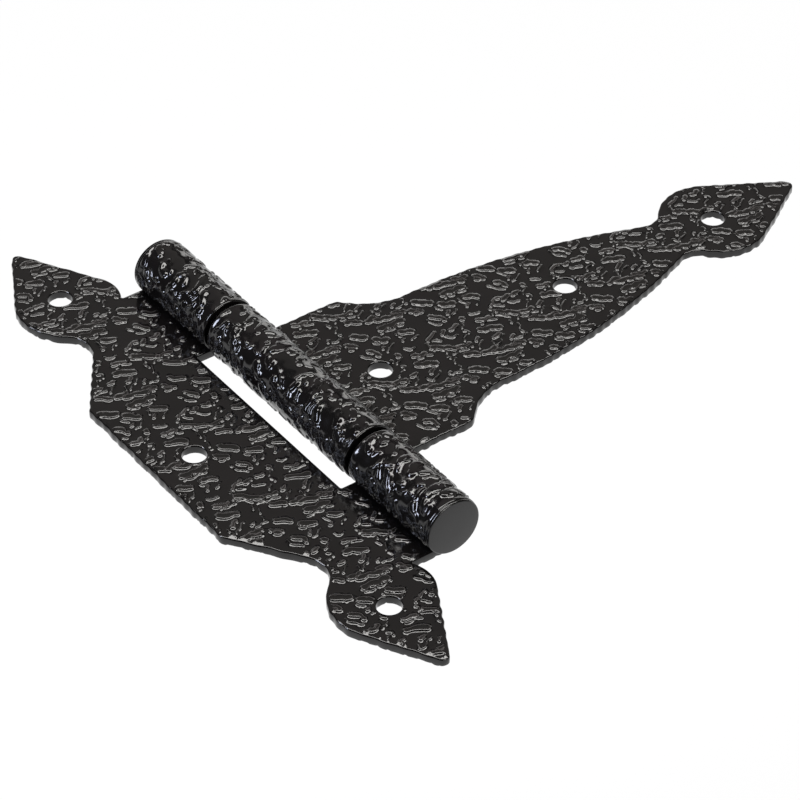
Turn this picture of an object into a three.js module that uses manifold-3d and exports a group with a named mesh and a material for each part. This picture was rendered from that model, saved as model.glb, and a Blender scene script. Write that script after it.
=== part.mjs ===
// Ornamental tee hinge, lying open and flat with its front up.
// Millimetres. X runs along the pin, Y from the pin towards the tip of the strap, Z out of the front.
// The origin is on the back plane, under the pin's axis, half way along the barrel.

import * as THREE from 'three';
import { mergeVertices } from 'three/addons/utils/BufferGeometryUtils.js';
import Module from 'manifold-3d';

const wasm = await Module();
wasm.setup();

// ---------------------------------------------------------------- driving dimensions

const SHEET_THICKNESS = 3.175;
const SCREW_HOLE_DIAMETER = 7.94;

// Pin
const PIN_DIAMETER = 12.7;
const PIN_CLEARANCE = 0.08;
const PIN_CHAMFER = 0.8;
const PIN_END_GAP = 0.3;

// Barrel
const CENTRE_KNUCKLE_LENGTH = 76;
const KNUCKLE_GAP = 2.1;
const END_KNUCKLE_LENGTH = 40.3;
const SEAM_GAP = 0.3;
const SLOT_WIDTH = 2.9;

// End caps
const CAP_SEAT_GAP = 0.1;
const CAP_RIM_HEIGHT = 0.5;
const CAP_BEVEL_WIDTH = 0.7;
const CAP_BEVEL_HEIGHT = 0.35;
const CAP_DOME_HEIGHT = 0.25;
const SPIGOT_LENGTH = 7;
const SPIGOT_CLEARANCE = 0.08;

// Fixed leaf: depths are measured away from the pin's axis
const LEAF_DEPTH = 54.9;
const LEAF_BOTTOM_HALF_WIDTH = 37.4;
const LEAF_BOTTOM_RADIUS = 2.5;
const LEAF_SHOULDER_DEPTH = 15.3;
const LEAF_SHOULDER_RADIUS = 0.4;
const MIDDLE_HOLE_MARGIN = 15;
const FINIAL_HOLE_OFFSET = 11.65;
const FINIAL_HOLE_DEPTH = 31.7;

// Finial at each end of the fixed leaf. Its corners are x, y from its screw hole and a radius.
const LEAF_FINIAL = [
  [-4.5, 20, 12.5], // hollow beside the knuckle
  [31.1, 0, 2.3], // tip
  [-6.8, -20.9, 18.6], // outer cheek
  [-24.2, -3.4, 9.1], // hollow behind the finial
  [-31.7, -7.4, 5.1], // shoulder where the bottom edge starts
];

// Strap: reaches are measured away from the pin's axis
const STRAP_REACH = 205.8;
const STRAP_TIP_RADIUS = 2.7;
const STRAP_ROOT_REACH = 40;
const STRAP_ROOT_RADIUS = 5.5;
const ROOT_HOLLOW_LENGTH = 10.5;
const ROOT_HOLLOW_HALF_WIDTH = 27.2;
const ROOT_HOLLOW_RADIUS = 23.8;
const ROOT_HOLE_REACH = 31.2;
const STRAP_HOLE_SPACING = 62.9;
const TIP_HOLE_MARGIN = 37;

// Taper and tip finial of the strap. Its corners are x, y from the tip's screw hole and a radius.
const STRAP_FINIAL = [
  [27.6, -67.4, 215], // belly of the taper
  [8.8, -17.6, 7.7], // neck
  [23.5, -2.2, 17], // cheek
];

const FACETS_PER_TURN = 48;
const ARC_SEGMENTS = 10;
const DOME_RINGS = 3;
const ROUND_SHARE_OF_SIDE = 0.98;

// ---------------------------------------------------------------- sizes that follow from them

const pinRadius = PIN_DIAMETER / 2;
const boreRadius = pinRadius + PIN_CLEARANCE;
const barrelRadius = boreRadius + SHEET_THICKNESS;
const pinHeight = barrelRadius;
const centreHalf = CENTRE_KNUCKLE_LENGTH / 2;
const slotHalf = centreHalf + KNUCKLE_GAP;
const slotDepth = barrelRadius + SLOT_WIDTH;
const barrelHalf = slotHalf + END_KNUCKLE_LENGTH;
const finialHoleX = barrelHalf + FINIAL_HOLE_OFFSET;
const tipHoleReach = STRAP_REACH - TIP_HOLE_MARGIN;

// Each plate runs on to its foot, close under the pin, and its knuckles are rolled from there.
const facetAngle = (2 * Math.PI) / FACETS_PER_TURN;
const footReach = barrelRadius * Math.tan(facetAngle / 2);

const leafHoles = [
  [finialHoleX, -FINIAL_HOLE_DEPTH],
  [0, MIDDLE_HOLE_MARGIN - LEAF_DEPTH],
  [-finialHoleX, -FINIAL_HOLE_DEPTH],
];
const strapHoles = [
  [0, ROOT_HOLE_REACH],
  [0, tipHoleReach - STRAP_HOLE_SPACING],
  [0, tipHoleReach],
];

// ---------------------------------------------------------------- outlines

const corner = (x, y, radius = 0) => ({ point: new THREE.Vector2(x, y), radius });
const mirrored = ({ point, radius }) => corner(-point.x, point.y, radius);
const around = ([holeX, holeY], corners) => (
  corners.map(([x, y, radius]) => corner(holeX + x, holeY + y, radius))
);

// Draws a closed anticlockwise outline. Its first two corners are sharp, the others have a radius.
// Two rounds that would meet on the side between them are shortened to share it.
function roundedShape(corners) {
  const count = corners.length;
  const side = (i, step) => corners[(i + step + count) % count].point.clone().sub(corners[i].point);
  const halfAngle = (i) => side(i, -1).angleTo(side(i, 1)) / 2;
  const wanted = corners.map(({ radius }, i) => radius / Math.tan(halfAngle(i)));
  const room = (i, step) => {
    const both = wanted[i] + wanted[(i + step + count) % count];
    return ROUND_SHARE_OF_SIDE * side(i, step).length() * wanted[i] / both;
  };

  const shape = new THREE.Shape();
  shape.moveTo(corners[0].point.x, corners[0].point.y);
  for (let i = 1; i < count; i += 1) {
    const { point, radius } = corners[i];
    if (radius === 0) {
      shape.lineTo(point.x, point.y);
    } else {
      const reach = Math.min(wanted[i], room(i, -1), room(i, 1));
      addArc(shape, point, side(i, -1).setLength(reach), side(i, 1).setLength(reach));
    }
  }
  return shape;
}

// Rounds a corner: back and ahead run from the corner to the two ends of the arc.
function addArc(shape, point, back, ahead) {
  const halfAngle = back.angleTo(ahead) / 2;
  const toCentre = back.clone().add(ahead).setLength(back.length() / Math.cos(halfAngle));
  const centre = point.clone().add(toCentre);
  const from = back.clone().sub(toCentre).angle();
  const to = ahead.clone().sub(toCentre).angle();
  const clockwise = back.cross(ahead) > 0;
  shape.absarc(centre.x, centre.y, back.length() * Math.tan(halfAngle), from, to, clockwise);
}

function plate(corners, holes) {
  const shape = roundedShape(corners);
  for (const [x, y] of holes) {
    const hole = new THREE.Path();
    hole.absarc(x, y, SCREW_HOLE_DIAMETER / 2, 0, 2 * Math.PI, true);
    shape.holes.push(hole);
  }
  return new THREE.ExtrudeGeometry(shape, {
    depth: SHEET_THICKNESS,
    bevelEnabled: false,
    curveSegments: ARC_SEGMENTS,
  });
}

// ---------------------------------------------------------------- rolled knuckles

// A point round the pin, by its angle from straight below and its distance.
function facetCorner(angle, distance) {
  return new THREE.Vector2(distance * Math.sin(angle), pinHeight - distance * Math.cos(angle));
}

// The sheet leaves the plate under the pin, goes round it and comes back down to the plate's front.
// side is -1 for the fixed leaf, whose plate is at negative y, and 1 for the strap.
// The facets touch the true circles from outside, so the lowest one lies in the back plane.
function knuckle(side, fromX, length) {
  const seamAngle = Math.acos((pinHeight - SHEET_THICKNESS - SEAM_GAP) / barrelRadius);
  const outer = [new THREE.Vector2(side * footReach, 0)];
  const inner = [new THREE.Vector2(side * footReach, SHEET_THICKNESS)];
  for (let angle = facetAngle / 2; angle <= 2 * Math.PI - seamAngle; angle += facetAngle) {
    outer.push(facetCorner(-side * angle, barrelRadius / Math.cos(facetAngle / 2)));
    inner.unshift(facetCorner(-side * angle, boreRadius / Math.cos(facetAngle / 2)));
  }
  const section = new THREE.Shape([...outer, ...inner]);
  const geometry = new THREE.ExtrudeGeometry(section, { depth: length, bevelEnabled: false });
  geometry.applyMatrix4(new THREE.Matrix4().makeBasis(
    new THREE.Vector3(0, 1, 0),
    new THREE.Vector3(0, 0, 1),
    new THREE.Vector3(1, 0, 0),
  ));
  return geometry.translate(fromX, 0, 0);
}

// ---------------------------------------------------------------- joining solids

// Coordinates are rounded off, so that faces meant to be flush with each other are flush.
function toSolid(geometry) {
  geometry.deleteAttribute('normal');
  geometry.deleteAttribute('uv');
  const merged = mergeVertices(geometry);
  return new wasm.Manifold(new wasm.Mesh({
    numProp: 3,
    vertProperties: merged.attributes.position.array.map((value) => Math.round(value * 1e4) / 1e4),
    triVerts: Uint32Array.from(merged.index.array),
  }));
}

function join(...geometries) {
  const [first, ...others] = geometries.map(toSolid);
  const mesh = others.reduce((sum, solid) => sum.add(solid), first).getMesh();
  const joined = new THREE.BufferGeometry();
  joined.setAttribute('position', new THREE.BufferAttribute(mesh.vertProperties, 3));
  joined.setIndex(new THREE.BufferAttribute(mesh.triVerts, 1));
  joined.computeVertexNormals();
  return joined;
}

// ---------------------------------------------------------------- the pieces

// Slot beside the centre knuckle, end knuckles, finials and bottom edge.
function fixedLeaf() {
  const half = [
    corner(slotHalf, -slotDepth),
    corner(slotHalf, -footReach),
    corner(barrelHalf, -footReach),
    corner(barrelHalf, -LEAF_SHOULDER_DEPTH, LEAF_SHOULDER_RADIUS),
    ...around(leafHoles[0], LEAF_FINIAL),
    corner(LEAF_BOTTOM_HALF_WIDTH, -LEAF_DEPTH, LEAF_BOTTOM_RADIUS),
  ];
  return join(
    plate([...half.map(mirrored), ...half.toReversed()], leafHoles),
    knuckle(-1, slotHalf, END_KNUCKLE_LENGTH),
    knuckle(-1, -barrelHalf, END_KNUCKLE_LENGTH),
  );
}

// Square root as wide as the centre knuckle, hollow behind it, long taper, neck and tip finial.
function strapLeaf() {
  const foot = corner(centreHalf, footReach);
  const half = [
    corner(centreHalf, STRAP_ROOT_REACH, STRAP_ROOT_RADIUS),
    corner(ROOT_HOLLOW_HALF_WIDTH, STRAP_ROOT_REACH + ROOT_HOLLOW_LENGTH, ROOT_HOLLOW_RADIUS),
    ...around([0, tipHoleReach], STRAP_FINIAL),
  ];
  const tip = corner(0, STRAP_REACH, STRAP_TIP_RADIUS);
  return join(
    plate([mirrored(foot), foot, ...half, tip, ...half.map(mirrored).toReversed()], strapHoles),
    knuckle(1, -centreHalf, CENTRE_KNUCKLE_LENGTH),
  );
}

// Turns a profile of radius and distance along the pin about the pin's axis.
function turned(profile) {
  const points = profile.map(([radius, along]) => new THREE.Vector2(radius, along));
  const geometry = new THREE.LatheGeometry(points, FACETS_PER_TURN);
  geometry.rotateZ(-Math.PI / 2);
  return geometry.translate(0, 0, pinHeight);
}

function hingePin() {
  const end = barrelHalf - SPIGOT_LENGTH - PIN_END_GAP;
  return turned([
    [0, -end],
    [pinRadius - PIN_CHAMFER, -end],
    [pinRadius, -end + PIN_CHAMFER],
    [pinRadius, end - PIN_CHAMFER],
    [pinRadius - PIN_CHAMFER, end],
    [0, end],
  ]);
}

// A spigot in the bore, a flange as wide as the knuckle, a bevelled rim and a shallow domed face.
function endCap() {
  const spigotRadius = boreRadius - SPIGOT_CLEARANCE;
  const spigotEnd = barrelHalf - SPIGOT_LENGTH;
  const seat = barrelHalf + CAP_SEAT_GAP;
  const rim = seat + CAP_RIM_HEIGHT;
  const domeRadius = barrelRadius - CAP_BEVEL_WIDTH;
  const dome = [];
  for (let ring = DOME_RINGS; ring >= 0; ring -= 1) {
    const share = ring / DOME_RINGS;
    const height = CAP_BEVEL_HEIGHT + CAP_DOME_HEIGHT * (1 - share * share);
    dome.push([domeRadius * share, rim + height]);
  }
  return turned([
    [0, spigotEnd],
    [spigotRadius, spigotEnd],
    [spigotRadius, seat],
    [barrelRadius, seat],
    [barrelRadius, rim],
    ...dome,
  ]);
}

// ---------------------------------------------------------------- assembly

function piece(name, geometry) {
  const coatedSteel = new THREE.MeshStandardMaterial({ color: '#1b1a1a', roughness: 0.4, metalness: 0 });
  const mesh = new THREE.Mesh(geometry, coatedSteel);
  mesh.name = name;
  return mesh;
}

const hinge = new THREE.Group();
hinge.add(
  piece('fixed_leaf', fixedLeaf()),
  piece('strap_leaf', strapLeaf()),
  piece('hinge_pin', hingePin()),
  piece('end_cap_near', endCap()),
  piece('end_cap_far', endCap().rotateZ(Math.PI)),
);

export default hinge;
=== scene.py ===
# %% [markdown]
# # A hammered black tee hinge
#
# The hinge is two steel leaves, a pin and two end caps. Each leaf is one sheet: a flat plate whose
# edge is rolled round the pin. The sheet is embossed with a hammered pattern of small raised worms
# and coated with black powder paint. The CAD model gives the sizes and the motion, and this script
# gives the finished surface. Sizes here are in millimetres until a mesh is made.

# %% Load the CAD model
import math

import bmesh
import bpy
import numpy as np
from mathutils import Matrix, Vector
from mathutils.geometry import delaunay_2d_cdt


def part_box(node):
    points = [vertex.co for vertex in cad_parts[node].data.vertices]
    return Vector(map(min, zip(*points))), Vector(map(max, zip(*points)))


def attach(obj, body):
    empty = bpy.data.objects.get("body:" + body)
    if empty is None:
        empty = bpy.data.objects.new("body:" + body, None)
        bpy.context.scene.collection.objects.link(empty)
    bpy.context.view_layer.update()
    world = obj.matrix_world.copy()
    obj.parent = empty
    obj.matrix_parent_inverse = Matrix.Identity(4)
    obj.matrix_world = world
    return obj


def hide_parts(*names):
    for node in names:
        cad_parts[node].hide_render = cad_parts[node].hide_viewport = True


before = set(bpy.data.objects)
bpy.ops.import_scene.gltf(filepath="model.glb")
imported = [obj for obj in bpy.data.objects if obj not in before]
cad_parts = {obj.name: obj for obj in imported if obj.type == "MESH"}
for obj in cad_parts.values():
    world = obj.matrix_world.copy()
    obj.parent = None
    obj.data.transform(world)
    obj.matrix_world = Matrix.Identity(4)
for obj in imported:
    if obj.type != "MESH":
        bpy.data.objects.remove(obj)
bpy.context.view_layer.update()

MM = 0.001


def box_mm(node):
    low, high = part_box(node)
    return low / MM, high / MM


# %% [markdown]
# ## Sizes
#
# The barrel's radius, the lengths of the knuckles and the places of the caps are read from the CAD
# boxes, so they follow the model. The outlines of the two plates are drawn again here from their
# corners, because the CAD arcs are coarse and the visible edge has to be smooth.

# %% Sizes from the CAD boxes
SHEET = 3.175
SCREW_HOLE = 7.94

_, strap_high = box_mm("strap_leaf")
pin_low, pin_high = box_mm("hinge_pin")
cap_low, cap_high = box_mm("end_cap_near")

BARREL_RADIUS = strap_high.z / 2
PIN_RADIUS = (pin_high.z - pin_low.z) / 2
BORE_RADIUS = BARREL_RADIUS - SHEET
CENTRE_HALF = strap_high.x
KNUCKLE_GAP = 2.1
END_KNUCKLE = 40.3
SLOT_HALF = CENTRE_HALF + KNUCKLE_GAP
BARREL_HALF = SLOT_HALF + END_KNUCKLE
SLOT_DEPTH = BARREL_RADIUS + 2.9
SEAM_GAP = 0.3

seam_angle = math.acos((BARREL_RADIUS - SHEET - SEAM_GAP) / BARREL_RADIUS)
ROLL_LENGTH = BARREL_RADIUS * (2 * math.pi - seam_angle)
print("barrel radius", round(BARREL_RADIUS, 3), "roll length", round(ROLL_LENGTH, 2))

# %% [markdown]
# ## Outlines
#
# Each leaf is drawn unrolled, as the press tool cuts it from the sheet. Along x it runs with the
# pin, and s is the distance from the line under the pin: the plate has s above zero, and the tabs
# that become knuckles have s below zero. An outline is a short list of corners, each with a radius,
# and one function turns it into evenly spaced points with true arcs. The embossing roll pushes
# small waves into a plate's edge, so the smooth outline is made a little ragged afterwards.

# %% Corners of the two blanks
CUT_CORNER = 0.5

FINIAL_HOLE = (BARREL_HALF + 11.65, 31.7)
MIDDLE_HOLE = (0, 39.9)
LEAF_DEPTH = 54.9
LEAF_HALF = [
    (SLOT_HALF, SLOT_DEPTH, CUT_CORNER),
    (SLOT_HALF, -ROLL_LENGTH, CUT_CORNER),
    (BARREL_HALF, -ROLL_LENGTH, CUT_CORNER),
    (BARREL_HALF, 15.3, CUT_CORNER),
    (FINIAL_HOLE[0] - 4.5, FINIAL_HOLE[1] - 20, 12.5),
    (FINIAL_HOLE[0] + 31.1, FINIAL_HOLE[1], 2.3),
    (FINIAL_HOLE[0] - 6.8, FINIAL_HOLE[1] + 20.9, 18.6),
    (FINIAL_HOLE[0] - 24.2, FINIAL_HOLE[1] + 3.4, 9.1),
    (FINIAL_HOLE[0] - 31.7, FINIAL_HOLE[1] + 7.4, 5.1),
    (37.4, LEAF_DEPTH, 2.5),
]
LEAF_HOLES = [FINIAL_HOLE, MIDDLE_HOLE, (-FINIAL_HOLE[0], FINIAL_HOLE[1])]

STRAP_REACH = 205.8
TIP_HOLE = STRAP_REACH - 37
STRAP_HALF = [
    (CENTRE_HALF, -ROLL_LENGTH, CUT_CORNER),
    (CENTRE_HALF, 40, 5.5),
    (27.2, 50.5, 23.8),
    (27.6, TIP_HOLE - 67.4, 215),
    (8.8, TIP_HOLE - 17.6, 7.7),
    (23.5, TIP_HOLE - 2.2, 17),
]
STRAP_TIP = (0, STRAP_REACH, 2.7)
STRAP_HOLES = [(0, 31.2), (0, TIP_HOLE - 62.9), (0, TIP_HOLE)]

# %% Turn corners into points
EDGE_STEP = 0.5
ARC_STEP = math.radians(15)
SIDE_SHARE = 0.98


def mirrored(corners):
    return [(-x, s, radius) for x, s, radius in reversed(corners)]


def even_points(start, end):
    """Points from start up to, and without, end."""
    count = max(1, round(float(np.linalg.norm(end - start)) / EDGE_STEP))
    return [start + (end - start) * i / count for i in range(count)]


def corner_arc(before, at, after, radius, room):
    """The points of the arc that rounds a corner, its two ends included."""
    back = (before - at) / np.linalg.norm(before - at)
    ahead = (after - at) / np.linalg.norm(after - at)
    half_angle = math.acos(float(np.clip(back @ ahead, -1, 1))) / 2
    reach = min(radius / math.tan(half_angle), room)
    radius = reach * math.tan(half_angle)
    centre = at + (back + ahead) / np.linalg.norm(back + ahead) * reach / math.cos(half_angle)
    spoke = at + back * reach - centre
    turn = math.pi - 2 * half_angle
    side = 1 if back[0] * ahead[1] - back[1] * ahead[0] < 0 else -1
    steps = max(math.ceil(turn / ARC_STEP), round(radius * turn / EDGE_STEP))
    points = []
    for i in range(steps + 1):
        angle = side * turn * i / steps
        cosine, sine = math.cos(angle), math.sin(angle)
        turned = np.array([
            spoke[0] * cosine - spoke[1] * sine,
            spoke[0] * sine + spoke[1] * cosine,
        ])
        points.append(centre + turned)
    return points


def outline(corners):
    """A closed loop of points about EDGE_STEP apart."""
    places = [np.array([x, s], float) for x, s, _ in corners]
    count = len(corners)
    half = []
    for i in range(count):
        back = places[i - 1] - places[i]
        ahead = places[(i + 1) % count] - places[i]
        cosine = back @ ahead / np.linalg.norm(back) / np.linalg.norm(ahead)
        half.append(corners[i][2] / math.tan(math.acos(cosine) / 2))
    arcs = []
    for i in range(count):
        rooms = []
        for j in (i - 1, (i + 1) % count):
            side = np.linalg.norm(places[j] - places[i])
            rooms.append(SIDE_SHARE * side * half[i] / (half[i] + half[j]))
        arcs.append(corner_arc(
            places[i - 1], places[i], places[(i + 1) % count], corners[i][2], min(rooms)
        ))
    loop = []
    for i in range(count):
        loop += arcs[i][:-1]
        loop += even_points(arcs[i][-1], arcs[(i + 1) % count][0])
    return np.array(loop)


def hole_loop(centre):
    """A round hole, its points running the other way round from the outline's."""
    steps = round(math.pi * SCREW_HOLE / EDGE_STEP)
    angles = -np.arange(steps) * 2 * math.pi / steps
    ring = np.stack([np.cos(angles), np.sin(angles)], axis=1)
    return np.array(centre) + ring * SCREW_HOLE / 2


def turns_left(loop):
    """The loop with its inside on the left."""
    following = np.roll(loop, -1, axis=0)
    area = (loop[:, 0] * following[:, 1] - loop[:, 1] * following[:, 0]).sum()
    return loop if area > 0 else loop[::-1]


# %% Make the plates' edges ragged
RAGGED_DEPTH = 0.2
RAGGED_MIDDLE = 0.5
RAGGED_WAVES = ((0.9, 1.1), (0.47, -0.61))  # radians per mm along x and s
RAGGED_START = SLOT_DEPTH + 1
RAGGED_FADE = 3


def edge_normals(loop):
    """Unit vectors pointing into the metal, one for each point of a loop."""
    along = np.roll(loop, -1, axis=0) - np.roll(loop, 1, axis=0)
    inward = np.stack([-along[:, 1], along[:, 0]], axis=1)
    return inward / np.linalg.norm(inward, axis=1)[:, None]


def ragged(loop):
    """The outline with small waves of about 5 mm pushed into the plate's edge, not the tabs'."""
    short_wave, long_wave = (np.sin(loop @ wave) for wave in RAGGED_WAVES)
    wave = short_wave * long_wave + RAGGED_MIDDLE
    on_plate = np.clip((loop[:, 1] - RAGGED_START) / RAGGED_FADE, 0, 1)
    return loop + edge_normals(loop) * (RAGGED_DEPTH * wave * on_plate)[:, None]


leaf_loops = [ragged(turns_left(outline(LEAF_HALF + mirrored(LEAF_HALF))))]
leaf_loops += [hole_loop(hole) for hole in LEAF_HOLES]
strap_loops = [ragged(turns_left(outline(STRAP_HALF + [STRAP_TIP] + mirrored(STRAP_HALF))))]
strap_loops += [hole_loop(hole) for hole in STRAP_HOLES]
print("edge points:", [len(loop) for loop in leaf_loops + strap_loops])

# %% [markdown]
# ## The hammered pattern
#
# The embossing roll carries one patch of worms that repeats across the sheet. A worm is a short
# stroke with a width, a heading and a bend, and its sides waver and swell a little. They rise
# steeply, and the top is dished inside a narrow rim, so a worm catches the light in a thin line all
# round while the flat ground stays dark. The patch was drawn, and each worm is listed as its place,
# length and width, heading in degrees from x, and the bend in degrees from one end to the other.

# %% The patch of worms
PATCH_ACROSS = np.array([38.6, -5.8])
PATCH_ALONG = np.array([-2.8, 27.5])
WORMS = [
    (6.7, -25.8, 5.8, 2.3, 77, 0),
    (8.8, -26.2, 2.9, 0.8, 85, 0),
    (10.5, -31.5, 10.4, 2.7, 86, 8),
    (12.5, -32.0, 9.6, 0.8, 88, 10),
    (16.5, -29.2, 6.2, 2.3, 59, -10),
    (17.0, -32.3, 4.5, 0.8, 20, 60),
    (19.5, -32.5, 2.8, 1.5, -50, 0),
    (20.6, -28.9, 3.6, 0.8, -60, 0),
    (24.2, -33.4, 4.8, 0.9, 62, 80),
    (15.3, -38.0, 6.6, 2.6, 55, 12),
    (15.6, -40.9, 3.6, 0.8, 30, 40),
    (18.9, -40.1, 2.8, 1.4, -45, 0),
    (20.2, -38.6, 5.6, 0.8, -62, -40),
    (24.6, -38.6, 2.9, 2.2, 10, 30),
    (27.4, -40.1, 4.0, 0.8, -55, 0),
    (19.8, -44.5, 6.6, 2.0, 30, -50),
    (20.6, -46.6, 7.0, 0.8, 33, 40),
    (26.6, -43.4, 4.6, 1.9, 95, 40),
    (26.8, -47.7, 4.2, 2.0, -70, -40),
    (31.0, -41.2, 3.6, 1.1, 8, -90),
    (33.2, -43.4, 4.0, 0.8, -50, 30),
    (29.8, -46.4, 5.0, 0.9, 62, 50),
    (36.2, -46.3, 6.4, 2.0, 84, 0),
    (38.1, -46.3, 6.0, 0.8, 84, 0),
    (35.9, -40.6, 3.4, 1.7, -70, 0),
    (38.9, -41.4, 4.4, 0.9, -52, 0),
    (41.1, -46.3, 6.6, 2.3, 56, -14),
    (23.6, -24.5, 6.6, 1.5, -66, 24),
    (26.0, -24.2, 3.6, 0.8, 55, 0),
    (30.6, -24.2, 9.8, 2.2, 50, 0),
    (27.0, -28.4, 4.0, 0.9, -15, -60),
    (34.5, -22.5, 3.4, 0.8, -75, 0),
    (31.4, -26.7, 6.2, 0.8, 40, -80),
    (35.4, -26.3, 2.6, 0.8, 0, 0),
    (37.8, -25.4, 3.4, 0.8, -32, 0),
    (41.2, -26.3, 2.4, 1.0, 0, 0),
    (43.2, -28.3, 5.0, 0.8, 90, 0),
    (41.6, -30.7, 2.6, 1.3, -60, 0),
    (28.8, -32.9, 6.0, 1.9, 74, 10),
    (30.7, -32.0, 6.4, 0.8, 85, -30),
    (34.0, -34.0, 8.6, 2.6, 65, -15),
    (38.1, -34.6, 4.2, 1.8, -60, 0),
    (40.8, -34.8, 6.4, 0.8, -58, 0),
    (40.8, -37.8, 3.0, 0.8, 0, 0),
    (45.4, -35.8, 11.4, 2.4, 77, 6),
    (49.2, -26.9, 2.9, 2.2, 60, 40),
    (10.0, -43.6, 7.4, 2.6, 50, 0),
    (4.6, -35.0, 6.0, 2.3, 93, 0),
    (12.4, -48.0, 5.6, 2.3, 42, 0),
]

# %% Lay worms over a blank
WORM_STEP = 0.55
FOOT_SHARE = 0.14
THINNEST = 0.26
SHORTEST_SPINE = 0.3
WAVER = 0.32
WAVER_WAVES = ((0.8, 1.5), (1.3, -0.9))  # radians per mm along x and s
SWELL = 0.2
SWELL_WAVE = (2.1, 1.7)
REPEATS = range(-14, 15)


def worm_line(x, s, length, heading, bend):
    """Points along a worm: an arc of that length that turns by bend, and wavers a little."""
    steps = max(2, math.ceil(length / WORM_STEP))
    angles = np.radians(heading + bend * (np.arange(steps) / (steps - 1) - 0.5))
    moves = np.stack([np.cos(angles), np.sin(angles)], axis=1) * length / steps
    line = np.vstack([[0, 0], np.cumsum(moves, axis=0)])
    line += (x, s) - (line[0] + line[-1]) / 2
    return line + WAVER * np.stack([np.sin(line @ wave) for wave in WAVER_WAVES], axis=1)


def worms_over(low, high, start, side):
    """Every worm whose middle lies in the box, as its line in x and s and its half widths."""
    found = []
    for across in REPEATS:
        for along in REPEATS:
            shift = start + across * PATCH_ACROSS + along * PATCH_ALONG
            for x, y, length, width, heading, bend in WORMS:
                middle = (shift + (x, y)) * (1, side)
                if (middle > low).all() and (middle < high).all():
                    spine = max(length - width, SHORTEST_SPINE)
                    line = worm_line(*middle, spine, heading * side, bend * side)
                    swell = 1 + SWELL * np.sin(line @ SWELL_WAVE)
                    found.append((line, max(width / 2 - FOOT_SHARE, THINNEST) * swell))
    return found


# %% How high the pattern stands
WORM_HEIGHT = 0.42
FOOT = 0.32
SHOULDER = 0.28
DISH_SHARE = 0.22
RIM_INSIDE = 0.8 * SHOULDER
DISH_INSIDE = 2 * SHOULDER


def smooth(low, high, value):
    share = np.clip((value - low) / (high - low), 0, 1)
    return share * share * (3 - 2 * share)


def distance_to_line(points, line):
    """Distance from each point to a chain of straight pieces."""
    best = np.full(len(points), np.inf)
    for start, end in zip(line[:-1], line[1:]):
        along = end - start
        share = np.clip((points - start) @ along / (along @ along), 0, 1)
        gap = points - start - share[:, None] * along
        best = np.minimum(best, np.einsum("ij,ij->i", gap, gap))
    return np.sqrt(best)


def inside_worm(points, line, halves):
    """How far each point lies inside a worm's side, where halves are its half widths."""
    best = np.full(len(points), -np.inf)
    for i in range(len(line) - 1):
        along = line[i + 1] - line[i]
        share = np.clip((points - line[i]) @ along / (along @ along), 0, 1)
        gap = points - line[i] - share[:, None] * along
        half_width = halves[i] + (halves[i + 1] - halves[i]) * share
        best = np.maximum(best, half_width - np.sqrt(np.einsum("ij,ij->i", gap, gap)))
    return best


def worm_height(points, worms, soften=1.0, dish_share=DISH_SHARE):
    """Height of the raised pattern at each point, in mm."""
    height = np.zeros(len(points))
    for line, halves in worms:
        reach = halves.max() + FOOT * soften
        low, high = line.min(axis=0) - reach, line.max(axis=0) + reach
        near = np.flatnonzero(((points > low) & (points < high)).all(axis=1))
        if len(near) == 0:
            continue
        inside = inside_worm(points[near], line, halves)
        side = smooth(-FOOT * soften, SHOULDER * soften, inside)
        dish = dish_share * smooth(RIM_INSIDE, DISH_INSIDE, inside)
        rise = WORM_HEIGHT * (side - dish)
        height[near] = np.maximum(height[near], rise)
    return height


# %% [markdown]
# ## Making a leaf
#
# The front and back of the blank are triangulated from chosen points: the cut edge, rings that
# round it over, rings round each worm and a loose grid between them. Points that follow the worms
# keep their sides crisp with far fewer triangles than an even grid. By hand this would be thousands
# of small moves, so this piece is mesh code. Then each point gets its height, and the tabs are
# rolled round the pin.

# %% Find the metal and its edge
EDGE_REACH = 3


def edge_distance(points, loops):
    """Distance from each point to the nearest cut edge, found piece by piece."""
    best = np.full(len(points), np.inf)
    for loop in loops:
        for start, end in zip(loop, np.roll(loop, -1, axis=0)):
            near = np.flatnonzero(np.abs(points - start).max(axis=1) < EDGE_REACH)
            if len(near):
                gap = distance_to_line(points[near], np.array([start, end]))
                best[near] = np.minimum(best[near], gap)
    return best


def inside_loops(points, loops):
    """True for the points that lie in the metal."""
    crossings = np.zeros(len(points), int)
    for loop in loops:
        for (x0, s0), (x1, s1) in zip(loop, np.roll(loop, -1, axis=0)):
            if s0 == s1:
                continue
            spans = (points[:, 1] >= min(s0, s1)) & (points[:, 1] < max(s0, s1))
            crossing_x = x0 + (points[:, 1] - s0) * (x1 - x0) / (s1 - s0)
            crossings += spans & (points[:, 0] < crossing_x)
    return crossings % 2 == 1


# %% Choose the points of a face
RING_STEP = 0.52
KEEP_APART = 0.24
NARROWEST_RING = 0.1
EDGE_ROUND = 0.5
ROUNDING_ANGLES = (35, 62, 90)
RING_SHARE = 0.96
RIM_BAND = (1.1, 1.45)


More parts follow.
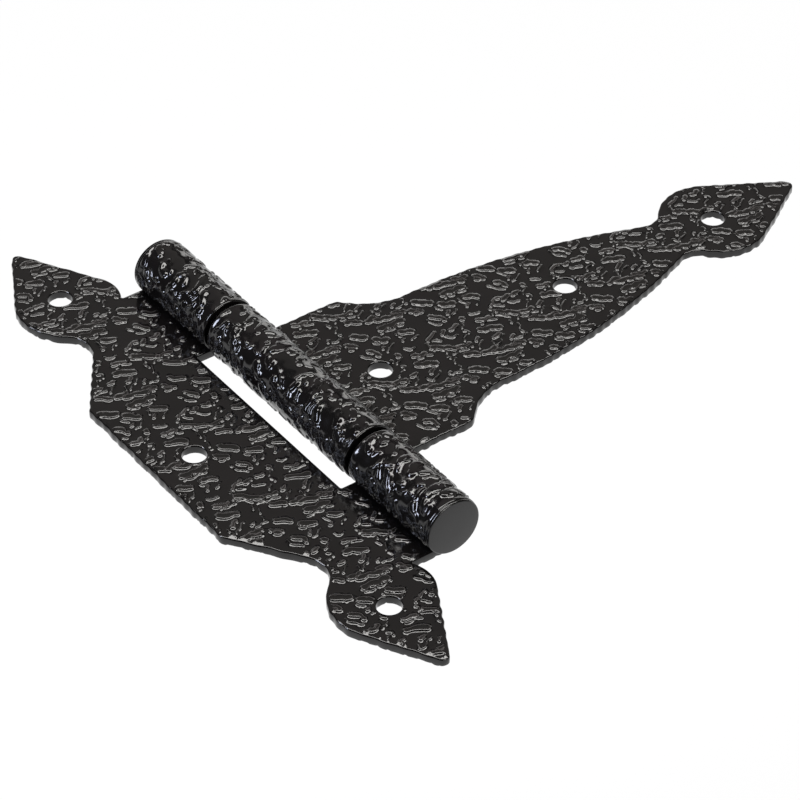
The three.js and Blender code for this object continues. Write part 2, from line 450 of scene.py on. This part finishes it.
def worm_rings(worms):
    """Points round each worm: its foot, side, shoulder and dish, and along its middle."""
    points = []
    for line, halves in worms:
        along = np.gradient(line, axis=0)
        along /= np.linalg.norm(along, axis=1)[:, None]
        for reaches in (halves + FOOT, halves, halves - SHOULDER, halves - DISH_INSIDE):
            if reaches.min() < NARROWEST_RING:
                continue
            across = np.stack([-along[:, 1], along[:, 0]], axis=1) * reaches[:, None]
            points += [line + across, line - across]
            ends = ((line[0], -along[0], reaches[0]), (line[-1], along[-1], reaches[-1]))
            for centre, ahead, reach in ends:
                steps = max(2, math.ceil(math.pi * reach / RING_STEP))
                start = math.atan2(ahead[1], ahead[0]) - math.pi / 2
                angles = start + np.arange(1, steps) * math.pi / steps
                ring = np.stack([np.cos(angles), np.sin(angles)], axis=1)
                points.append(centre + ring * reach)
        points.append(line)
    return np.vstack(points)


def thinned(points, apart):
    """The points without those that come closer than apart to an earlier one, cell by cell."""
    cells = np.floor(points / apart).astype(int)
    _, first = np.unique(cells, axis=0, return_index=True)
    return points[np.sort(first)]


def loose_grid(low, high, step):
    xs = np.arange(low[0], high[0], step)
    rows = []
    for i, s in enumerate(np.arange(low[1], high[1], step * 0.866)):
        rows.append(np.stack([xs + step / 2 * (i % 2), np.full(len(xs), s)], axis=1))
    return np.vstack(rows)


def face_points(loops, worms, coarse):
    """The cut edge, then the rings that round it over, then what lies inside them."""
    edge = np.vstack(loops)
    ring_depths = [EDGE_ROUND * (1 - math.cos(math.radians(a))) for a in ROUNDING_ANGLES]
    rings = [
        loop + edge_normals(loop) * depth for depth in ring_depths for loop in loops
    ]
    rings = np.vstack(rings)
    ring_depth = np.repeat(ring_depths, len(edge))
    true_depth = edge_distance(rings, loops)
    keep = true_depth > ring_depth * RING_SHARE
    rings, ring_depth = rings[keep], ring_depth[keep]

    filling = loose_grid(edge.min(axis=0), edge.max(axis=0), coarse)
    filling = filling[worm_height(filling, worms) == 0]
    bands = [loop + edge_normals(loop) * depth for depth in RIM_BAND for loop in loops]
    filling = np.vstack(bands + [worm_rings(worms), filling])
    filling = filling[inside_loops(filling, loops)]
    filling = thinned(filling, KEEP_APART)
    depth = edge_distance(filling, loops)
    keep = depth > EDGE_ROUND + KEEP_APART
    filling, depth = filling[keep], depth[keep]
    points = np.vstack([edge, rings, filling])
    return points, np.concatenate([np.zeros(len(edge)), ring_depth, depth])


# %% Join the points into triangles
SLIVER = 1e-3
SAME_PLACE = 1e-7


def triangulated(points, loops):
    """Triangles over the metal, as rows of three point numbers that turn left.

    The first points are the loops' own. A triangle of three such points may lie outside the metal,
    or be a sliver along a straight edge, and is then left out.
    """
    edges = []
    start = 0
    for loop in loops:
        count = len(loop)
        edges += [(start + i, start + (i + 1) % count) for i in range(count)]
        start += count
    made = delaunay_2d_cdt([Vector(p) for p in points.tolist()], edges, [], 0, SAME_PLACE)
    origin = np.array([ids[0] for ids in made[3]])
    triangles = origin[np.array(made[2])]
    a, b, c = (points[triangles[:, i]] for i in range(3))
    area = (b[:, 0] - a[:, 0]) * (c[:, 1] - a[:, 1]) - (b[:, 1] - a[:, 1]) * (c[:, 0] - a[:, 0])
    flipped = area < 0
    triangles[flipped] = triangles[flipped][:, ::-1]
    on_edge = (triangles < start).all(axis=1)
    middles = points[triangles].mean(axis=1)
    keep = ~on_edge
    keep[on_edge] = inside_loops(middles[on_edge], loops) & (np.abs(area[on_edge]) > SLIVER)
    return triangles[keep]


# %% Heights of the front and the back
EDGE_CALM = (0.5, 1.5)
SEAM_CALM = (7.5, 10.5)
BEND_CALM = (0.5, 3.0)
TAB_END_CALM = (0.5, 3.5)
BARREL_SOFTEN = 1.4
RIM_HEIGHT = 0.14
WAVE_HEIGHT = 0.07
DENT_SHARE = 1.2
DENT_SOFTEN = 1.6


def rounded_over(depth):
    """How far the surface lies below the flat near a cut edge."""
    short = np.clip(EDGE_ROUND - depth, 0, EDGE_ROUND)
    return EDGE_ROUND - np.sqrt(EDGE_ROUND * EDGE_ROUND - short * short)


def hammer_waves(points):
    """Broad shallow hills a few millimetres apart, from -1 to 1, left by the roll's pressure."""
    x, s = points[:, 0], points[:, 1]
    return np.sin(0.95 * x + 0.6 * s) * np.sin(0.85 * s - 0.35 * x + 1.3 * np.sin(0.21 * x))


def front_heights(points, depth, worms):
    """The height of the front, and the part of it that is pattern."""
    calm = smooth(*EDGE_CALM, depth) * smooth(*SEAM_CALM, points[:, 1])
    pattern = worm_height(points, worms) * calm
    return SHEET - rounded_over(depth) + pattern, pattern


def back_heights(points, depth, worms):
    """The height of the back, which is the outside of the barrel.

    Worms stand out on the barrel, softer than on a plate, and show behind a plate as shallow dents.
    A knuckle keeps a plain raised band along its cut ends, where the roll did not press.
    """
    s = points[:, 1]
    on_barrel = smooth(*BEND_CALM, -s) * smooth(*TAB_END_CALM, s + ROLL_LENGTH)
    past_rim = smooth(*RIM_BAND, depth)
    pattern = worm_height(points, worms, BARREL_SOFTEN, 0) * past_rim * on_barrel
    plain = WAVE_HEIGHT * hammer_waves(points) * past_rim + RIM_HEIGHT * (1 - past_rim)
    dents = worm_height(points, worms, DENT_SOFTEN) * DENT_SHARE * smooth(*BEND_CALM, s)
    return rounded_over(depth) + dents - pattern - plain * on_barrel


# %% Roll the tabs and build the mesh
def rolled(points, height, side):
    """Places in mm: the plate stays flat, and what lies beyond the pin's line goes round it."""
    x, s = points[:, 0], points[:, 1]
    angle = np.clip(-s / BARREL_RADIUS, 0, None)
    distance = BARREL_RADIUS - height
    y = np.where(s >= 0, s, -distance * np.sin(angle))
    z = np.where(s >= 0, height, BARREL_RADIUS - distance * np.cos(angle))
    return np.stack([x, side * y, z], axis=1)


FRONT_GRID = 1.5
BACK_GRID = 1.15
PAST_EDGE = 4


def make_leaf(name, loops, side, pattern_start):
    """A leaf whose plate reaches from the pin to side times Y, with its knuckles rolled."""
    low = np.vstack(loops).min(axis=0) - PAST_EDGE
    high = np.vstack(loops).max(axis=0) + PAST_EDGE
    worms = worms_over(low, high, np.array(pattern_start, float), side)
    front_worms = [worm for worm in worms if worm[0][:, 1].max() > SEAM_CALM[0]]
    barrel_worms = [worm for worm in worms if worm[0][:, 1].min() < -BEND_CALM[0]]

    front, front_depth = face_points(loops, front_worms, FRONT_GRID)
    back, back_depth = face_points(loops, barrel_worms, BACK_GRID)
    front_faces = triangulated(front, loops)
    back_faces = triangulated(back, loops) + len(front)

    front_z, front_crest = front_heights(front, front_depth, front_worms)
    back_z = back_heights(back, back_depth, worms)
    places = np.vstack([rolled(front, front_z, side), rolled(back, back_z, side)])
    crest = np.concatenate([front_crest / WORM_HEIGHT, np.zeros(len(back))])
    faces = front_faces.tolist() + back_faces[:, ::-1].tolist()
    start = 0
    for loop in loops:
        for i in range(len(loop)):
            here, there = start + i, start + (i + 1) % len(loop)
            faces.append([there, here, here + len(front), there + len(front)])
        start += len(loop)
    if side < 0:
        faces = [face[::-1] for face in faces]

    mesh = bpy.data.meshes.new(name)
    mesh.from_pydata((places * MM).tolist(), [], faces)
    mesh.attributes.new("crest", "FLOAT", "POINT").data.foreach_set("value", crest)
    mesh.shade_smooth()
    leaf = bpy.data.objects.new(name, mesh)
    bpy.context.scene.collection.objects.link(leaf)
    print(name, "worms", len(worms), "points", len(places), "faces", len(faces))
    return leaf


def check_closed(piece):
    """Prints how many edges are open, and the volume, which is positive if faces point outwards."""
    shape = bmesh.new()
    shape.from_mesh(piece.data)
    open_edges = sum(1 for edge in shape.edges if len(edge.link_faces) != 2)
    volume = shape.calc_volume(signed=True) / MM ** 3
    print(piece.name, "open edges", open_edges, "volume mm3", round(volume))
    shape.free()


# %% Make the two leaves
strap = make_leaf("strap_leaf_hammered", strap_loops, 1, (-30, 106))
check_closed(strap)
fixed = make_leaf("fixed_leaf_hammered", leaf_loops, -1, (-42, -7.6))
check_closed(fixed)

# %% [markdown]
# ## The pin and the end caps
#
# The pin is a plain turned rod with chamfered ends, seen only in the gaps between the knuckles. An
# end cap is pressed from sheet: a smooth disc as wide as the barrel, with a rounded rim, a slightly
# domed face and a spigot that grips the bore. Both start as a cylinder lying along x. The cap's
# faces are inset, pushed and bevelled in edit mode, which leaves even rings for a smooth shine.

# %% Helpers for work in edit mode
ROUND_SIDES = 96


def deselect_all():
    bpy.ops.object.select_all(action="DESELECT")


def add_rod(name, radius, from_x, to_x):
    """A cylinder along the pin's axis, its place in its mesh."""
    deselect_all()
    bpy.ops.mesh.primitive_cylinder_add(
        vertices=ROUND_SIDES,
        radius=radius * MM,
        depth=(to_x - from_x) * MM,
        end_fill_type="NGON",
        location=((from_x + to_x) / 2 * MM, 0, BARREL_RADIUS * MM),
        rotation=(0, math.pi / 2, 0),
    )
    rod = bpy.context.object
    rod.name = name
    rod.data.name = name
    bpy.ops.object.transform_apply(location=True, rotation=True, scale=True)
    return rod


def edit_end(piece, x, mode="FACE"):
    """Opens edit mode with the face, or the rim's edges, that lies at x selected."""
    bpy.ops.object.mode_set(mode="EDIT")
    bpy.ops.mesh.select_mode(type=mode)
    bpy.ops.mesh.select_all(action="DESELECT")
    shape = bmesh.from_edit_mesh(piece.data)
    parts = shape.faces if mode == "FACE" else shape.edges
    for part in parts:
        part.select_set(all(abs(vert.co.x - x * MM) < 0.01 * MM for vert in part.verts))
    bmesh.update_edit_mesh(piece.data)


def close_edit(piece, smooth_angle):
    bpy.ops.object.mode_set(mode="OBJECT")
    deselect_all()
    piece.select_set(True)
    bpy.context.view_layer.objects.active = piece
    bpy.ops.object.shade_smooth_by_angle(angle=math.radians(smooth_angle))


# %% Turn the pin
PIN_CHAMFER = 0.8

pin = add_rod("hinge_pin_turned", PIN_RADIUS, pin_low.x, pin_high.x)
for end in (pin_low.x, pin_high.x):
    edit_end(pin, end, "EDGE")
    bpy.ops.mesh.bevel(offset=PIN_CHAMFER * MM, segments=2)
close_edit(pin, 35)
check_closed(pin)

# %% Press the near end cap
CAP_SEAT = BARREL_HALF + 0.1
CAP_ROUND = 0.62
DOME_RINGS = 6
DOME_HEIGHT = 0.3
SPIGOT_RADIUS = BORE_RADIUS - 0.08
SPIGOT_ROUND = 0.5

dome_foot = cap_high.x - DOME_HEIGHT
near_cap = add_rod("end_cap_near_domed", BARREL_RADIUS, CAP_SEAT, dome_foot)
edit_end(near_cap, CAP_SEAT)
bpy.ops.mesh.inset(thickness=(BARREL_RADIUS - SPIGOT_RADIUS) * MM)
bpy.ops.mesh.extrude_region_move(
    TRANSFORM_OT_translate={"value": ((cap_low.x - CAP_SEAT) * MM, 0, 0)}
)
bpy.ops.mesh.select_mode(type="EDGE")
bpy.ops.mesh.bevel(offset=SPIGOT_ROUND * MM, segments=2)
bpy.ops.object.mode_set(mode="OBJECT")

edit_end(near_cap, dome_foot, "EDGE")
bpy.ops.mesh.bevel(offset=CAP_ROUND * MM, segments=5)
bpy.ops.object.mode_set(mode="OBJECT")

edit_end(near_cap, dome_foot)
ring_width = (BARREL_RADIUS - CAP_ROUND) / (DOME_RINGS + 1)
for ring in range(DOME_RINGS):
    here, there = ring / DOME_RINGS, (ring + 1) / DOME_RINGS
    rise = DOME_HEIGHT * ((1 - here) ** 2 - (1 - there) ** 2)
    bpy.ops.mesh.inset(thickness=ring_width * MM)
    bpy.ops.transform.translate(value=(rise * MM, 0, 0))
close_edit(near_cap, 40)
check_closed(near_cap)

# %% Copy it for the far end
far_cap = near_cap.copy()
far_cap.data = near_cap.data.copy()
far_cap.name = "end_cap_far_domed"
far_cap.data.name = far_cap.name
bpy.context.scene.collection.objects.link(far_cap)
far_cap.data.transform(Matrix.Rotation(math.pi, 4, "Z"))
check_closed(far_cap)

# %% [markdown]
# ## Black powder coat
#
# Powder paint is sprayed dry and baked, so it flows into a deep black skin with a soft gloss. It
# never levels out: from close by it has a fine orange peel about a millimetre and a half across,
# and small changes in gloss. Each leaf's mesh carries an attribute, crest, that is 0 on the ground
# and 1 on a rim, and the coat takes its colour and gloss from it: the worms' rims get a painted
# highlight, much paler than the ground, and their sides a painted shade a little darker than it.
# A piece without the attribute reads as plain ground. The caps are pressed from smooth sheet and
# come out more satin, and the pin is worn, so its coat is duller.

# %% Colour and node helpers
def linear(hex_colour):
    """A colour written as sRGB hex, as the linear values that a shader takes."""
    channels = [int(hex_colour[i:i + 2], 16) / 255 for i in (1, 3, 5)]
    lit = [c / 12.92 if c <= 0.04045 else ((c + 0.055) / 1.055) ** 2.4 for c in channels]
    return (*lit, 1)


def add_node(tree, kind, inputs, **settings):
    """Adds a node, sets it, and gives each input a value or a link from another node's output."""
    node = tree.nodes.new(kind)
    for name, value in settings.items():
        setattr(node, name, value)
    for name, value in inputs.items():
        if isinstance(value, bpy.types.NodeSocket):
            tree.links.new(value, node.inputs[name])
        else:
            node.inputs[name].default_value = value
    return node


def per_metre(millimetres):
    """Noise scale for spots of that size, on object coordinates in metres."""
    return 1 / (millimetres * MM)


# %% The powder coat
CLOUD_STOPS = (0.35, 0.7)
GRAIN_SHARE = 1 / 8
CREST_STARTS = (0.25, 0.4)
# Colours along the crest: a painted shade on the worms' sides, darker than the ground, and a
# painted highlight on their rims.
CREST_SHADE_AND_HIGHLIGHT = [(0.3, "#0a0909"), (0.5, "#050505"), (0.8, "#0f0e0d"), (1.0, "#454241")]
CREST_ROUGHNESS = 0.15


def powder_coat(name, deep, worn, gloss, dull, peel_depth):
    """deep and worn are its darkest and palest colours, gloss and dull its roughness limits."""
    material = bpy.data.materials.new(name)
    material.use_nodes = True
    tree = material.node_tree
    tree.nodes.clear()
    place = add_node(tree, "ShaderNodeTexCoord", {}).outputs["Object"]

    clouds = add_node(tree, "ShaderNodeTexNoise", {
        "Vector": place, "Scale": per_metre(14), "Detail": 3,
    })
    ramp = add_node(tree, "ShaderNodeValToRGB", {"Fac": clouds.outputs["Fac"]})
    ramp.color_ramp.elements[0].position = CLOUD_STOPS[0]
    ramp.color_ramp.elements[0].color = linear(deep)
    ramp.color_ramp.elements[1].position = CLOUD_STOPS[1]
    ramp.color_ramp.elements[1].color = linear(worn)

    smears = add_node(tree, "ShaderNodeTexNoise", {
        "Vector": place, "Scale": per_metre(5), "Detail": 4,
    })
    roughness = add_node(tree, "ShaderNodeMapRange", {
        "Value": smears.outputs["Fac"],
        "From Min": 0.3, "From Max": 0.7, "To Min": gloss, "To Max": dull,
    })

    crest = add_node(tree, "ShaderNodeAttribute", {}, attribute_name="crest").outputs["Fac"]
    # How much of the painted rim highlight and side shade goes into the colour, by the crest
    # attribute.
    rim_highlight_share = add_node(tree, "ShaderNodeMapRange", {
        "Value": crest, "From Min": CREST_STARTS[0], "From Max": CREST_STARTS[1],
    }).outputs["Result"]
    rim_light_ramp = add_node(tree, "ShaderNodeValToRGB", {"Fac": crest})
    stops = rim_light_ramp.color_ramp.elements
    while len(stops) < len(CREST_SHADE_AND_HIGHLIGHT):
        stops.new(0.5)
    for stop, (position, hex_colour) in zip(stops, CREST_SHADE_AND_HIGHLIGHT):
        stop.position = position
        stop.color = linear(hex_colour)
    colour = add_node(tree, "ShaderNodeMixRGB", {
        "Fac": rim_highlight_share, "Color1": ramp.outputs["Color"], "Color2": rim_light_ramp.outputs["Color"],
    })
    gloss_over_crest = add_node(tree, "ShaderNodeMapRange", {
        "Value": rim_highlight_share, "To Min": roughness.outputs["Result"], "To Max": CREST_ROUGHNESS,
    })

    peel = add_node(tree, "ShaderNodeTexNoise", {
        "Vector": place, "Scale": per_metre(1.5), "Detail": 1,
    })
    grain = add_node(tree, "ShaderNodeTexNoise", {
        "Vector": place, "Scale": per_metre(0.35), "Detail": 1,
    })
    peel_bump = add_node(tree, "ShaderNodeBump", {
        "Height": peel.outputs["Fac"], "Distance": peel_depth * MM, "Strength": 1,
    })
    grain_bump = add_node(tree, "ShaderNodeBump", {
        "Height": grain.outputs["Fac"], "Distance": peel_depth * MM * GRAIN_SHARE, "Strength": 1,
        "Normal": peel_bump.outputs["Normal"],
    })
    shader = add_node(tree, "ShaderNodeBsdfPrincipled", {
        "Base Color": colour.outputs["Color"],
        "Roughness": gloss_over_crest.outputs["Result"],
        "IOR": 1.5,
        "Metallic": 0,
        "Normal": grain_bump.outputs["Normal"],
    })
    add_node(tree, "ShaderNodeOutputMaterial", {"Surface": shader.outputs["BSDF"]})
    return material


leaf_coat = powder_coat("black_powder_coat_gloss", "#0a0909", "#0f0d0d", 0.09, 0.14, 0.006)
cap_coat = powder_coat("black_powder_coat_satin", "#0a0909", "#0e0d0d", 0.2, 0.26, 0.004)
pin_coat = powder_coat("black_powder_coat_rubbed", "#131212", "#232121", 0.32, 0.46, 0.005)

# %% Coat each piece, and set what it rides on and stands for
PIECES = [
    (strap, "strap", "strap_leaf", "leaf_coating", leaf_coat),
    (fixed, "fixed", "fixed_leaf", "leaf_coating", leaf_coat),
    (pin, "fixed", "hinge_pin", "pin_coating", pin_coat),
    (near_cap, "fixed", "end_cap_near", "cap_coating", cap_coat),
    (far_cap, "fixed", "end_cap_far", "cap_coating", cap_coat),
]
for piece, body, node, slot_name, coat in PIECES:
    piece.data.materials.clear()
    piece.data.materials.append(coat)
    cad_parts[node].data.materials.clear()
    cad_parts[node].data.materials.append(coat)
    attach(piece, body)
    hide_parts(node)
    print(piece.name, "rides on", body, "and stands for", node)

# %% [markdown]
# ## Floor, light and camera
#
# The open hinge is held over a pale sweep, which lies lower than the strap can swing, so no pose
# cuts through it. Black gloss shows hardly any colour of its own: it is drawn by what it mirrors.
# A long strip overhead and a low one behind light the worms from both sides. A wide, weak box
# between them is what the flat ground mirrors, so the ground is nearly black but not dead. A narrow
# box on the left puts the glints on the barrel, and one in front lights the rim of the near cap.

# %% The floor
FLOOR_SIZE = 8
FLOOR_DROP = 230

deselect_all()
bpy.ops.mesh.primitive_plane_add(size=FLOOR_SIZE, location=(0, 0, -FLOOR_DROP * MM))
floor = bpy.context.object
floor.name = "floor"
bpy.ops.object.transform_apply(location=True, rotation=True, scale=True)
paper = bpy.data.materials.new("white_paper_sweep")
paper.use_nodes = True
paper_shader = paper.node_tree.nodes["Principled BSDF"]
paper_shader.inputs["Base Color"].default_value = linear("#464646")
paper_shader.inputs["Roughness"].default_value = 0.9
paper_shader.inputs["Specular IOR Level"].default_value = 0.1
paper_shader.inputs["Emission Color"].default_value = linear("#ffffff")
paper_shader.inputs["Emission Strength"].default_value = 0.92
floor.data.materials.append(paper)

# %% The soft boxes and the dim room
VIEW_AZIMUTH = math.radians(54.27)
VIEW_ELEVATION = math.radians(39.18)
LIT_MIDDLE = Vector((0, 75, 0)) * MM
ROOM_LIGHT = 0.045
ROOM_BACKDROP = 0.85


def direction(azimuth, elevation):
    """Towards that place in the sky: azimuth 0 is -Y, and it turns towards +X."""
    level = math.cos(elevation)
    return Vector((math.sin(azimuth) * level, -math.cos(azimuth) * level, math.sin(elevation)))


def soft_box(name, azimuth, elevation, distance, width, height, power, tint):
    """A soft box that faces the hinge. azimuth is counted from the camera's own, to its right.

    distance, width and height are in metres, power is in watts, and tint is the light's colour.
    """
    light = bpy.data.lights.new(name, "AREA")
    light.shape = "RECTANGLE"
    light.size, light.size_y = width, height
    light.energy = power
    light.color = linear(tint)[:3]
    box = bpy.data.objects.new(name, light)
    bpy.context.scene.collection.objects.link(box)
    back = direction(VIEW_AZIMUTH + math.radians(azimuth), math.radians(elevation))
    box.location = LIT_MIDDLE + back * distance
    box.rotation_euler = back.to_track_quat("Z", "Y").to_euler()
    return box


soft_box("overhead_strip", 180, 79, 1.25, 1.8, 0.32, 22, "#fffdfa")
soft_box("back_wall", 180, 42, 1.7, 3.2, 0.9, 2.3, "#fff7f1")
soft_box("low_back_box", 180, 9, 1.7, 3.4, 0.36, 8, "#fffdfa")
soft_box("left_box", -74, 32, 1.1, 0.2, 0.5, 8, "#e4ebff")
soft_box("front_box", 35, 30, 1.2, 0.5, 0.4, 6, "#fffdfa")

room = bpy.data.worlds.new("dim_room")
room.use_nodes = True
room.node_tree.nodes.clear()
seen = add_node(room.node_tree, "ShaderNodeLightPath", {}).outputs["Is Camera Ray"]
strength = add_node(room.node_tree, "ShaderNodeMapRange", {
    "Value": seen, "To Min": ROOM_LIGHT, "To Max": ROOM_BACKDROP,
})
sky = add_node(room.node_tree, "ShaderNodeBackground", {
    "Color": linear("#ffffff"), "Strength": strength.outputs["Result"],
})
add_node(room.node_tree, "ShaderNodeOutputWorld", {"Surface": sky.outputs["Background"]})
bpy.context.scene.world = room
bpy.context.scene.view_settings.view_transform = "Standard"

# %% The camera
AIM = Vector((13.1, 29.4, 0)) * MM
CAMERA_DISTANCE = 1.146
CAMERA_ROLL = math.radians(-0.335)
LENS = 162.63

camera_data = bpy.data.cameras.new("camera")
camera_data.lens = LENS
camera_data.sensor_width = 36
camera = bpy.data.objects.new("camera", camera_data)
bpy.context.scene.collection.objects.link(camera)
camera_back = direction(VIEW_AZIMUTH, VIEW_ELEVATION)
camera.location = AIM + camera_back * CAMERA_DISTANCE
level_turn = (-camera_back).to_track_quat("-Z", "Y").to_matrix()
camera.rotation_euler = (level_turn @ Matrix.Rotation(CAMERA_ROLL, 3, "Z")).to_euler()
bpy.context.scene.camera = camera
